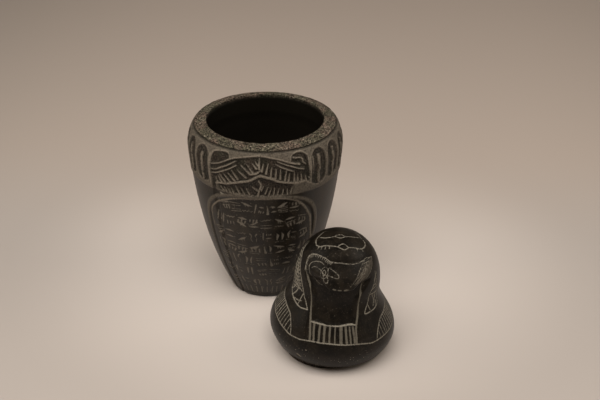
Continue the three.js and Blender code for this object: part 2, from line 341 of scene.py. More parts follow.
@dataclass
class Surface:
    """The unrolled outside of one piece while it is carved.

    Attributes:
        skin: The rings.
        chart: The ornament's chart, in which strokes are drawn as angle and height.
        angle: Angle of each point from the ornament's middle, in degrees.
        height: Height of each point, or well under the table where no stroke reaches.
        plain: Plain place of each point.
        outward: Each point's move away from the axis.
        depth: Each point's move along the outline's normal.
        masks: What the finish reads: distance from cut lines and from marks, how far the stone is rubbed, raw and
        dusty, and where shade is painted into its recesses and hollow.
    """

    skin: Skin
    chart: Chart
    angle: Array
    height: Array
    plain: Array
    outward: Array
    depth: Array
    masks: dict[str, Array]

    @classmethod
    def unroll(cls, skin: Skin, first: int, last: int, turn: float, seed: int) -> "Surface":
        """Lay out the rings between two of them for carving.

        Args:
            skin: All rings of the piece.
            first: The lowest ring that strokes can reach.
            last: The highest.
            turn: Angle of the ornament's middle from the piece's front.
            seed: Seed of the hand's unevenness.

        Returns:
            The surface, still plain.
        """
        angle = np.concatenate(skin.angles)
        height, radius, length = skin.spread(skin.heights), skin.spread(skin.radii), skin.lengths()
        a = np.radians(angle)
        plain = np.column_stack([radius * np.sin(a), -radius * np.cos(a), height])
        ring = skin.spread(range(len(skin.heights)))
        outside = (ring >= first) & (ring <= last)
        lengths = np.array([length[ring == k][0] for k in range(first, last + 1)])
        heights = np.array(skin.heights[first:last + 1])

        def place(points: Array) -> Array:
            return np.column_stack([np.radians(points[:, 0] + turn), np.interp(points[:, 1], heights, lengths)])

        scale = np.maximum(radius, 1.0)
        across = a + 0.3 * Lumps(7.0, seed).at(plain) / scale
        up = length + 0.3 * Lumps(7.0, seed + 1).at(plain)
        chart = Chart(across, np.where(outside, up, -1e3), scale, place, 2 * math.pi)
        off = (angle - turn + 180.0) % 360.0 - 180.0
        count = len(angle)
        masks = {name: np.zeros(count) for name in ("rub", "raw", "dust", "painted_shade")}
        masks |= {name: np.full(count, FAR) for name in ("line", "mark")}
        carved = np.where(outside, height, -99.0)
        return cls(skin, chart, off, carved, plain, np.zeros(count), np.zeros(count), masks)

    def cut(self, mask: str, distance: Array, depth: float, edge: float = 0.5) -> None:
        """Sink strokes into the surface and note them for the finish."""
        self.depth -= depth * smooth((0.15 - distance) / edge)
        self.masks[mask] = np.minimum(self.masks[mask], distance)

    def most(self, mask: str, values: Array) -> None:
        """Raise a mask to at least these values."""
        self.masks[mask] = np.maximum(self.masks[mask], values)

    def points(self) -> Array:
        """Carved places of all points."""
        a = np.radians(np.concatenate(self.skin.angles))
        radial, upward = self.skin.outline_normals()
        out = self.outward + radial * self.depth
        return self.plain + np.column_stack([out * np.sin(a), -out * np.cos(a), upward * self.depth])


class Mark(Enum):
    """The strokes that fill the panel's rows; the first four stand a row high, the others lie stacked."""

    DROP = "drop"
    PLUME = "plume"
    POST = "post"
    TAIL = "tail"
    LENS = "lens"
    LINES = "lines"
    LEAF = "leaf"
    RIPPLE = "ripple"
    SEEDS = "seeds"

    def strokes(self, side: float) -> list[tuple[Array, list[float]]]:
        """The mark's strokes in millimetres from its middle.

        Args:
            side: 1 or -1, which way the mark faces.

        Returns:
            Each stroke's points and widths.
        """
        lines: list[tuple[list[Point], list[float]]]
        if self is Mark.DROP:
            lines = [([(0.2 * side, 4.2), (0, 0.8), (-0.2 * side, -3.4)], [0.8, 1.2, 3.0])]
        elif self is Mark.PLUME:
            lines = [([(-0.4 * side, 4.3), (0.5 * side, 1.4), (-0.2 * side, -2.6)], [0.9, 2.7, 1.3])]
            lines += [([(-1.5, -4.2), (1.4, -4.0)], [0.9, 0.7])]
        elif self is Mark.POST:
            lines = [([(0, 4.1), (0.3 * side, -4.1)], [2.0, 1.1])]
        elif self is Mark.TAIL:
            lines = [([(-0.8 * side, 4.0), (0.5 * side, 2.0), (-0.3 * side, -1.0), (0.4 * side, -4.0)], [1.6, 1.0, 0.8])]
        elif self is Mark.LENS:
            lines = [([(-3.5, 0), (0.2 * side, 0.3), (3.5, 0.2)], [0.7, 2.6, 0.7])]
        elif self is Mark.LINES:
            lines = [([(-3.6, y), (3.6, y + 0.4 * side)], [0.9, 1.2, 0.8]) for y in (0.9, -0.9)]
        elif self is Mark.LEAF:
            lines = [([(-3.6 * side, -1.4), (0, 0.3), (3.4 * side, 1.6)], [0.6, 2.9, 0.8])]
            lines += [([(x * side, 0.3 * x), (x * side + 0.2, 0.3 * x - 2.2)], [0.8, 0.6]) for x in (-0.8, 1.0)]
        elif self is Mark.RIPPLE:
            path = [(x, 0.4 * (-1) ** k) for k, x in enumerate(np.linspace(-3.6, 3.6, 7))]
            lines = [(path, [0.8, 1.0, 0.8])]
        else:
            lines = [([(x, 1.1), (x + 0.4 * side, -1.1)], [1.7, 1.1]) for x in (-2.4, 0.2, 2.6)]
        return [(np.array(points), widths) for points, widths in lines]

    @classmethod
    def cell(cls, rng: np.random.Generator) -> list[tuple[Array, list[float]]]:
        """Strokes that fill one place in a row, 9 wide and 10 high."""
        tall, flat = list(cls)[:4], list(cls)[4:]
        plan = rng.choice(["pair", "stack", "mixed", "stack"])
        parts: list[tuple[Mark, float, float, float]] = []
        if plan == "pair":
            parts = [(tall[rng.integers(4)], x, 0.0, 1.0) for x in (-2.1, 2.1)]
        elif plan == "mixed":
            parts = [(tall[rng.integers(4)], -3.0, 0.0, 1.0)]
            parts += [(flat[rng.integers(5)], 1.5, y, 0.66) for y in (2.3, -2.3)]
        else:
            count = rng.integers(2, 4)
            parts = [(flat[rng.integers(5)], 0.0, y, 1.1) for y in np.linspace(2.9, -2.9, count)]
        strokes = []
        for mark, x, y, size in parts:
            for points, widths in mark.strokes(rng.choice([-1.0, 1.0])):
                strokes.append((size * points + (x, y), [w * max(size, 0.8) for w in widths]))
        return strokes


@dataclass(frozen=True)
class JarForm:
    """The jar's turned shape: a narrow foot, a swelling flank, a full shoulder and a hollow reaching far down."""

    height: float = 150.0
    foot_radius: float = 28.7
    foot_chamfer: float = 1.2
    belly_radius: float = 61.7
    belly_height: float = 131.0
    flank_power: float = 1.8
    flank_swell: float = 8.0
    shoulder_top: float = 145.5
    shoulder_radius: float = 57.9
    groove: tuple[Point, Point] = ((146.2, 56.6), (147.2, 56.0))
    lip_edge: Point = (148.0, 56.6)
    mouth_radius: float = 47.0
    lip_land: float = 3.0
    wall: float = 12.0
    floor: float = 16.0
    corner: float = 7.0
    hollow_widest: float = 47.8

    def outside(self, z: float) -> float:
        """Plain outside radius at a height."""
        if z > self.belly_height:
            rise = (z - self.belly_height) / (self.shoulder_top - self.belly_height)
            return self.belly_radius - (self.belly_radius - self.shoulder_radius) * rise**2
        t = z / self.belly_height
        flank = (self.belly_radius - self.foot_radius) * (1 - (1 - t) ** self.flank_power)
        return self.foot_radius + flank + self.flank_swell * t * (1 - t) * (1 - 2 * t)

    def hollow(self, z: float) -> float:
        """Radius of the hollow at a height."""
        return min(self.hollow_widest, self.outside(z) - self.wall)

    def skin(self, band_bottom: float) -> tuple[Skin, int, int]:
        """All rings of the jar.

        Args:
            band_bottom: Where the finely carved shoulder starts.

        Returns:
            The skin, and the first and last rings of its outside.
        """
        skin = Skin()
        foot = Spacing(0.76, 4.0, 56.0).angles()
        flank = Spacing(0.6, 3.6, 57.0).angles()
        band = Spacing(0.47, 1.0, 76.0).angles()
        lip = Spacing(0.9, 0.9).angles()
        inner = Spacing(3.0, 3.0).angles()
        skin.pole(0.0)
        skin.ring(foot, 0.0, 0.9 * self.foot_radius)
        skin.ring(foot, 0.0, self.foot_radius - self.foot_chamfer)
        first = len(skin.heights)
        for z in np.linspace(self.foot_chamfer, 45.0, 62):
            skin.ring(foot, z, self.outside(z))
        for z in np.linspace(45.6, band_bottom - 0.6, 108):
            skin.ring(flank, z, self.outside(z))
        for z in np.linspace(band_bottom, self.shoulder_top, 72):
            skin.ring(band, z, self.outside(z))
        skin.ring(band, *self.groove[0])
        last = len(skin.heights) - 1
        skin.ring(lip, *self.groove[1])
        land = (self.height, self.mouth_radius + self.lip_land)
        for t in np.linspace(0.0, 1.0, 10):
            edge = [a + (b - a) * t for a, b in zip(self.lip_edge, land)]
            skin.ring(lip, *edge)
        for r in np.linspace(land[1], self.mouth_radius, 5)[1:]:
            skin.ring(lip, self.height, r)
        for z in np.linspace(self.height - 0.8, 134.0, 12):
            skin.ring(lip, z, self.mouth_radius + 0.1)
        for z in np.linspace(131.0, self.floor + self.corner, 22):
            skin.ring(inner, z, self.hollow(z))
        base = self.hollow(self.floor + self.corner)
        for turn in np.radians(np.linspace(15, 90, 6)):
            out = base - self.corner * (1 - math.cos(turn))
            skin.ring(inner, self.floor + self.corner * (1 - math.sin(turn)), out)
        skin.ring(inner, self.floor, 0.5 * base)
        skin.pole(self.floor)
        return skin, first, last


@dataclass(frozen=True)
class ShoulderBand:
    """The carved band under the lip: two pairs of spread wings in front, and tongues all round.

    Attributes:
        bottom: Height of the band's lower edge.
        proud: How far the band stands out from the flank.
        sunk: How far down the ground between the feathers is cut.
    """

    bottom: float = 110.0
    proud: float = 0.7
    sunk: float = 1.3
    crest: tuple[Point, ...] = (
        (-41, 133), (-34.5, 135), (-29, 138), (-23, 141), (-16, 143), (-11, 144), (-5, 144.5), (0, 144.3),
        (4, 143.5), (12, 141.5), (16, 140), (20, 138), (26.5, 136),
    )
    ridge: tuple[Point, ...] = (
        (-38, 116.5), (-33, 118), (-29, 118.5), (-25, 120), (-17, 122.5), (-9.5, 125), (-4, 128.5), (-1.5, 129),
        (3, 127.5), (7, 126), (10.5, 124), (17.5, 122), (23, 121), (28, 120.5), (31, 120.5), (36, 117.5),
    )
    coverts: tuple[tuple[Point, ...], ...] = (
        ((-42.5, 128), (-37.5, 129), (-33, 131.5), (-25.5, 136), (-21, 139)),
        ((-42, 124.5), (-37, 126), (-28, 131), (-20, 136)),
        ((10.5, 140), (16.5, 137), (21, 135), (25, 133), (30, 131.5)),
        ((9, 138), (12, 136), (19, 132.3), (22, 131)),
    )
    corners: tuple[tuple[Point, ...], ...] = (
        ((-42.3, 133), (-42, 139), (-40, 143), (-34, 144.7), (-29, 144.9), (-26.5, 143.8), (-25.3, 141)),
        ((20, 140), (20.8, 143.5), (24, 145), (28.5, 145), (32, 143), (34, 140), (35, 129)),
    )
    upper_feathers: tuple[tuple[Point, Point], ...] = (
        ((-37.5, 122), (-36, 118)), ((-35.5, 125), (-32.5, 119)), ((-34, 126), (-29.5, 120)),
        ((-31, 127.5), (-25, 121)), ((-26.5, 129), (-21.5, 123)), ((-23.5, 132), (-19, 124.5)),
        ((-19, 132.5), (-13, 127)), ((-16.5, 137), (-9.5, 130)), ((-12, 138), (-7, 130.5)), ((-8, 139), (-5, 135)),
        ((-6, 140.5), (-4, 137.5)), ((-3, 143), (-3, 135)), ((0, 139), (-1, 133)), ((3.5, 139), (2, 131)),
        ((6, 136), (5, 128)), ((9, 134.5), (8.5, 127)), ((12, 134), (12, 126)), ((16.5, 133), (15.5, 124.5)),
        ((19, 130), (18, 123)), ((22.5, 130), (22.5, 122.5)), ((25, 128), (25, 122.5)), ((28, 127), (28, 122)),
        ((31, 125.5), (32, 121)),
    )
    lower_feathers: tuple[tuple[Point, Point], ...] = (
        ((-34, 115), (-31, 111.5)), ((-31, 115), (-28.5, 111.5)), ((-28, 115), (-25, 111)), ((-25, 116), (-22.5, 111)),
        ((-21, 118.5), (-18, 111)), ((-17, 117), (-13.5, 110)), ((-13, 117), (-10.5, 112)), ((-8.5, 119), (-5, 116)),
        ((0, 120.5), (-2, 116)), ((3, 119), (1, 113)), ((5.5, 118), (3.5, 111)), ((8, 118), (7, 111)),
        ((11, 117.5), (10, 111)), ((14.5, 116.5), (13.5, 111)), ((17.5, 116), (17.5, 111.5)), ((21, 117), (20, 112)),
    )
    knot: tuple[Point, ...] = ((-3.5, 124.5), (-2, 120.5), (-3.5, 116), (-4.5, 111.5))
    scroll: tuple[Point, ...] = ((22, 142), (24, 141.2), (26.5, 141), (29, 139.5), (29.5, 137), (31.5, 135))
    tongues: int = 17
    first_tongue: float = 35.5
    fill: float = 0.42
    tongue_foot: float = 119.0

    def line(self, points: Sequence[Point], angle: Array) -> Array:
        """Height of a drawn line at each angle, and nothing beyond its ends."""
        x, z = np.array(points).T
        return np.interp(angle, x, z, left=0.0, right=0.0)

    def standing(self, chart: Chart) -> Array:
        """Distance from every line that stands up out of the wings' ground."""
        lines = [(bend(self.crest), [0.6, 1.2, 1.3, 1.3, 1.3]), (bend(self.ridge), [1.1, 1.9, 2.3, 1.9, 1.3])]
        lines += [(bend(points), [0.6, 1.1, 0.7]) for points in self.coverts]
        lines += [(bend(points), [0.9, 1.2, 0.9]) for points in self.corners]
        lines += [(points, [0.35, 0.8, 1.7]) for points in self.upper_feathers]
        lines += [(points, [0.35, 0.8, 1.3]) for points in self.lower_feathers]
        lines += [(bend(self.knot), [1.2, 1.5, 1.2, 1.7]), (bend(self.scroll), [1.3, 0.7, 1.2, 0.6])]
        lines += [(bend([(-10, 130), (-5, 131), (-2, 134)]), [1.5, 1.7, 0.8])]
        lines += [([(-43.2, 114), (-43.2, 141)], [1.2, 1.5]), ([(35.8, 125), (35.6, 140)], [1.3, 1.0])]
        lines += [([(38.2, 125), (38.2, 139)], [0.6, 1.0])]
        return chart.layer(lines)

    def tongue_places(self, surface: Surface) -> tuple[Array, Array]:
        """Distance from the edge of the nearest tongue, negative inside, and from its middle."""
        pitch = (360.0 - 8.0 - 2 * self.first_tongue) / self.tongues
        place = ((surface.angle - self.first_tongue) % 360.0) / pitch
        inside = place < self.tongues
        half = self.fill * math.radians(pitch) * 61.0
        across = (place - np.floor(place) - 0.5) * math.radians(pitch) * 61.0
        above = np.maximum(0.0, surface.height - (144.0 - half))
        below = 1.6 * np.maximum(0.0, self.tongue_foot - surface.height)
        edge = np.hypot(across, np.maximum(above, below)) - half
        return np.where(inside, edge, FAR), across

    def carve(self, surface: Surface) -> None:
        """Cut the wings and tongues."""
        angle, z = surface.angle, surface.height
        grain = Lumps(3.0, 11).at(surface.plain)
        fine = Lumps(1.1, 12).at(surface.plain)
        dots = smooth(0.75 + Lumps(2.2, 13).at(surface.plain))
        on_band = smooth((z - self.bottom - 0.5 * grain) / 1.2) * smooth((147.0 - z) / 0.6)
        surface.depth += self.proud * on_band

        ridge = self.line(self.ridge, angle)
        top = np.maximum.reduce([self.line(points, angle) for points in (self.crest, *self.corners)])
        upper = between(z, ridge, top, 0.8) * between(angle, -42.3, 35.0, 1.0)
        lower = between(z, self.bottom + 0.6, ridge, 0.8) * between(angle, -37.5, 23, 3)
        field_ = np.maximum(upper, lower)
        standing = self.standing(surface.chart)

        edge, across = self.tongue_places(surface)
        rib = np.abs(across + 0.5 * grain) - 1.5 + 0.9 * (1.0 - dots)
        streak = np.abs(np.abs(across) - 4.6 - 0.5 * grain) + 0.2 * fine
        rib = np.where((z > 115.5 + 2 * grain) & (z < 139.5 + grain), rib, FAR)
        tongue = smooth((0.3 - edge) / 1.2)
        carved = np.maximum(field_, tongue)
        raised = np.minimum(standing, np.where(tongue > 0.0, rib, FAR))
        ground = carved * smooth((raised + 0.25) / 0.8)
        surface.depth -= self.sunk * ground * (1.0 + 0.25 * grain)
        surface.depth += 0.16 * fine * ground + 0.1 * grain * on_band

        drawn = on_band * smooth((0.35 - standing) / 0.6)
        surface.most("rub", drawn)
        surface.most("rub", on_band * tongue * smooth((0.4 - rib) / 0.8) * (0.25 + 0.5 * dots))
        surface.most("rub", 0.3 * on_band * tongue * smooth((0.5 - streak) / 0.6) * dots)
        surface.most("rub", 0.8 * hill(edge - 0.6, 1.3) * on_band)
        surface.most("rub", 0.45 * on_band * (1.0 - carved))
        surface.most("rub", 0.6 * between(z, self.bottom - 0.4, self.bottom + 2.2, 0.8) * smooth(0.8 + grain))
        surface.most("raw", on_band * (0.15 + 0.25 * carved) * (1.0 - drawn))
        # Painted shade: the sunk ground between the feathers and round the tongues is darkened in place of the shadow
        # that lies in it.
        surface.most("painted_shade", 0.5 * ground * on_band)


@dataclass(frozen=True)
class TextPanel:
    """The sunk panel in front, with a raised frame and rows of short strokes.

    Attributes:
        half_angle: Angle from the middle to the frame's outer edge.
        spring: Height where the frame starts to round over.
        top: Height of the frame's outer edge.
        roundness: Power of the rounded top.
        frame: Width of the frame as a part of the panel.
        rows: Height of each row of strokes, and how far the row reaches to each side.
    """

    half_angle: float = 52.5
    spring: float = 65.0
    top: float = 111.5
    foot: float = 3.0
    roundness: float = 3.0
    frame: float = 0.075
    proud: float = 0.5
    sunk: float = 0.5
    inner_line: tuple[Point, ...] = (
        (-49, 72), (-48.5, 88), (-42, 96), (-35, 101), (-25, 105.5), (-12, 107.8), (5, 108), (15, 107.5), (25, 104),
        (32, 97), (36, 91), (39.5, 85), (41, 79), (43, 70), (45, 60), (45, 45),
    )
    rows: tuple[tuple[float, float], ...] = (
        (98, 33), (84, 41), (70, 45), (56.5, 46), (43.5, 46), (31, 46), (18.8, 44),
    )
    seed: int = 41

    def marks(self, form: JarForm) -> list[tuple[Array, list[float]]]:
        """All strokes in their rows, as drawn."""
        rng = np.random.default_rng(self.seed)
        strokes: list[tuple[Array, list[float]]] = []
        for z, reach in self.rows:
            degrees = math.degrees(1.0 / form.outside(z))
            count = round(2 * reach / (10.2 * degrees))
            for k in range(count):
                middle = -4.0 - reach + 2 * reach * (k + 0.5) / count + rng.uniform(-0.5, 0.5)
                rise = z + rng.uniform(-0.9, 0.9)
                size = rng.uniform(0.85, 1.08) * min(1.0, 0.8 + z / 200)
                tilt = math.radians(rng.uniform(-9, 9))
                turned = size * np.array([[math.cos(tilt), math.sin(tilt)], [-math.sin(tilt), math.cos(tilt)]])
                for points, widths in Mark.cell(rng):
                    shaken = points @ turned + rng.uniform(-0.35, 0.35, points.shape)
                    drawn = np.column_stack([middle + shaken[:, 0] * degrees, rise + shaken[:, 1]])
                    strokes.append((bend(drawn, 4), [w * rng.uniform(0.45, 0.9) for w in widths]))
        for angle in np.arange(-44.0, 38.0, 7.5):
            foot = [(angle + rng.uniform(-1, 1), 12.5), (angle, rng.uniform(4.5, 6.5))]
            strokes.append((np.array(foot), [0.9, 1.3, 0.8]))
        return strokes

    def carve(self, surface: Surface, form: JarForm) -> None:
        """Cut the field and its strokes and leave the frame standing."""
        off, z = np.abs(surface.angle + 4.0), surface.height
        up = np.maximum(0.0, z - self.spring) / (self.top - self.spring)
        reach = ((off / self.half_angle) ** self.roundness + up**self.roundness) ** (1 / self.roundness)
        under = 1.0 - smooth((z - 110.0) / 1.0)
        above_foot = smooth((z - self.foot) / 2.0)
        inner = 1.0 - self.frame
        frame_ = between(reach, inner, 1.0, 0.02) * under * above_foot
        field_ = smooth((inner - reach) / 0.02) * under * above_foot
        surface.depth += self.proud * frame_ - self.sunk * field_
        fade = 0.45 + 0.55 * smooth((z - 45.0) / 35.0)
        edge = surface.chart.layer([(bend(self.inner_line), [0.5, 1.3, 1.5, 1.5, 1.4, 0.6])])
        surface.depth += 0.25 * smooth((0.2 - edge) / 0.5)
        surface.most("rub", smooth((0.4 - edge) / 0.5))
        surface.most("rub", 0.5 * frame_ * fade)
        marks = surface.chart.layer(self.marks(form))
        surface.cut("mark", marks, 0.4)
        surface.most("dust", 0.4 * field_)


@dataclass(frozen=True)
class Lip:
    """The broad, rough, worn lip."""

    start: float = 145.6
    unevenness: float = 0.22

    def carve(self, surface: Surface) -> None:
        """Leave the lip pitted and raw, and paint shade into the groove under its edge and into its pits."""
        radius = np.hypot(surface.plain[:, 0], surface.plain[:, 1])
        on_lip = smooth((surface.plain[:, 2] - self.start) / 1.2) * smooth((radius - 45.0) / 0.5)
        coarse = Lumps(3.2, 21).at(surface.plain)
        fine = Lumps(1.3, 22).at(surface.plain)
        pits = smooth((Lumps(2.1, 23).at(surface.plain) - 0.35) / 0.3)
        surface.depth += self.unevenness * on_lip * (0.7 * coarse + 0.5 * fine - 0.9 * pits)
        surface.most("raw", on_lip)
        # Painted shade: a dark band in the groove under the lip's outer edge, where its shadow falls.
        surface.most("painted_shade", 0.8 * between(surface.plain[:, 2], 145.6, 148.1, 0.7) * (radius > 55.0))
        # Painted shade in the lip's pits.
        surface.most("painted_shade", 0.35 * pits * on_lip)


@dataclass
class Jar:
    """The jar with its band, panel and lip."""

    form: JarForm
    band: ShoulderBand
    panel: TextPanel
    lip: Lip
    finish: "StoneFinish"
    turn: float = 4.0

    def build(self) -> bpy.types.Object:
        """Carve the jar and dress it."""
        skin, first, last = self.form.skin(self.band.bottom - 0.6)
        surface = Surface.unroll(skin, first, last, self.turn, seed=5)
        self.panel.carve(surface, self.form)
        self.band.carve(surface)
        self.lip.carve(surface)
        radius = np.hypot(surface.plain[:, 0], surface.plain[:, 1])
        outside = surface.height > 1.5
        surface.depth += np.where(outside, 0.22 * Lumps(26.0, 31).at(surface.plain), 0.0)
        inside = (radius < 48.5) & (surface.plain[:, 2] > 10.0) & ~outside
        # Painted shade: the inside of the hollow is darkened from just under the rim down, where little light reaches.
        surface.most("painted_shade", inside * smooth((149.8 - surface.plain[:, 2]) / 3.0))
        chip = surface.chart.layer([([(-35, 108.7), (-32.6, 108.2)], [1.6, 1.0])])
        flecks = surface.chart.layer([([(34.3, 122.7), (34.8, 122.2)], [1.4, 1.0]), ([(36, 121), (36.4, 120.8)], [1.2])])
        surface.cut("line", np.minimum(chip, flecks), 0.5)
        piece = surface.skin.mesh("carved_jar", surface.points(), surface.masks)
        self.finish.dress(piece)
        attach(piece, "root")
        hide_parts("jar")
        return piece


@dataclass(frozen=True)
class LidForm:
    """The lid's turned shape, a bell with a domed head on a flat plug, and how it stands on the table."""

    height: float = 100.8
    head_radius: float = 32.9
    head_spring: float = 60.0
    head_power: float = 2.3
    flange_radius: float = 48.3
    flange_height: float = 22.0
    underside_height: float = 8.0
    underside_radius: float = 42.8
    underside_power: float = 1.7
    plug_radius: float = 34.5
    plug_depth: float = 7.0
    ring: float = 30.5
    place: tuple[float, float, float] = (57.5, -92.7, 0.0)
    turn: float = 4.0
    lean_side: float = 4.6
    lean_forward: float = 0.9

    def outside(self, z: float) -> float:
        """Plain outside radius at a height."""
        if z < self.flange_height:
            down = (self.flange_height - z) / (self.flange_height - self.underside_height)
            return self.flange_radius - (self.flange_radius - self.underside_radius) * down**self.underside_power
        if z < self.head_spring:
            down = (self.head_spring - z) / (self.head_spring - self.flange_height)
            flare = (self.flange_radius - self.head_radius) * (1 - math.cos(math.pi * down)) / 2
            return self.head_radius + flare
        up = min(1.0, (z - self.head_spring) / (self.height - self.head_spring))
        return self.head_radius * math.sqrt(1 - up**self.head_power)

    def skin(self) -> tuple[Skin, int, int]:
        """All rings of the lid, and the first and last rings of its outside."""
        skin = Skin()
        flange = Spacing(1.2, 2.4, 70.0).angles()
        collar = Spacing(0.58, 1.2, 88.0).angles()
        head = Spacing(0.8, 2.0, 88.0).angles()
        crown = Spacing(1.3, 2.2, 95.0).angles()
        skin.pole(-self.plug_depth)
        skin.ring(flange, -self.plug_depth, self.plug_radius)
        skin.ring(flange, self.underside_height - 1.0, self.plug_radius)
        first = len(skin.heights)
        for z in np.linspace(self.underside_height, 28.5, 34):
            skin.ring(flange, z, self.outside(z))
        for z in np.linspace(29.0, 43.5, 32):
            skin.ring(collar, z, self.outside(z))
        for z in np.linspace(44.0, 92.0, 98):
            skin.ring(head, z, self.outside(z))
        last_up = (92.0 - self.head_spring) / (self.height - self.head_spring)
        tilt = math.asin(last_up ** (self.head_power / 2))
        for t in np.linspace(tilt, math.pi / 2, 50)[1:-1]:
            up = math.sin(t) ** (2 / self.head_power)
            z = self.head_spring + up * (self.height - self.head_spring)
            skin.ring(crown, z, self.head_radius * math.cos(t))
        last = len(skin.heights) - 1
        skin.pole(self.height)
        return skin, first, last

    def stand(self, points: Array) -> Array:
        """Set the lid down beside the jar, leaning on its plug, and trim what the table would meet."""
        lean = Matrix.Rotation(math.radians(self.lean_side), 3, "Y")
        nod = Matrix.Rotation(math.radians(self.lean_forward), 3, "X")
        turned = np.array(Matrix.Rotation(math.radians(self.turn), 3, "Z") @ lean @ nod)
        placed = points @ turned.T + np.array(self.place)
        placed[:, 2] = np.maximum(placed[:, 2], 0.0)
        return placed


@dataclass(frozen=True)
class Face:
    """The falcon's smooth forehead, running out into a broad blunt beak between the wig's lappets."""

    shift: float = -3.0
    gap: float = 23.5
    spread: float = 0.2
    cheek: float = 25.0
    cheek_start: float = 58.0
    cheek_end: float = 82.0
    throat_top: float = 72.0
    throat_sunk: float = 2.4
    collar_top: float = 43.0
    collar_sunk: float = 0.7
    lappet_outer: float = 50.0
    lappet_proud: float = 0.7
    lappet_top: float = 56.0
    brow: float = 89.0
    brow_sink: float = 0.3
    beak: float = 75.0
    beak_proud: float = 5.5
    beak_half_angle: float = 27.0

    def carve(self, surface: Surface, ring: float) -> None:
        """Model the face, throat and lappets in the round."""
        off, z = surface.angle - self.shift, surface.height
        spread = self.cheek * smooth((z - self.cheek_start) / (self.cheek_end - self.cheek_start))
        gap = self.gap + self.spread * (z - ring) + spread
        jaw = self.throat_top + 5.0 * smooth((np.abs(off - 6) - 12) / 22)
        open_ = smooth((gap - np.abs(off)) / 5)
        throat = open_ * smooth((z - self.collar_top + 1) / 2) * smooth((jaw - z) / (2 + 0.5 * (jaw - self.throat_top)))
        lappet = smooth((np.abs(off) - gap) / 4) * smooth((self.lappet_outer - np.abs(off)) / 14)
        hanging = lappet * smooth((z - ring) / 4) * smooth((self.lappet_top - z) / 14)
        collar = open_ * between(z, ring + 1, self.collar_top, 1.5)
        brow = hill(z - self.brow, 2.0) * smooth((62 - np.abs(off)) / 6)
        width = self.beak_half_angle * (1 + 0.6 * smooth((z - self.beak) / 12))
        slope = smooth((self.brow + 1 - z) / (self.brow + 1 - self.beak))
        chin = smooth((z - jaw + 2) / (2.5 + 0.6 * (jaw - self.throat_top)))
        beak = np.exp(-((off / width) ** 2)) * slope * chin
        sunk = self.throat_sunk * throat + self.collar_sunk * collar + self.brow_sink * brow
        surface.outward += self.beak_proud * beak + self.lappet_proud * hanging - sunk


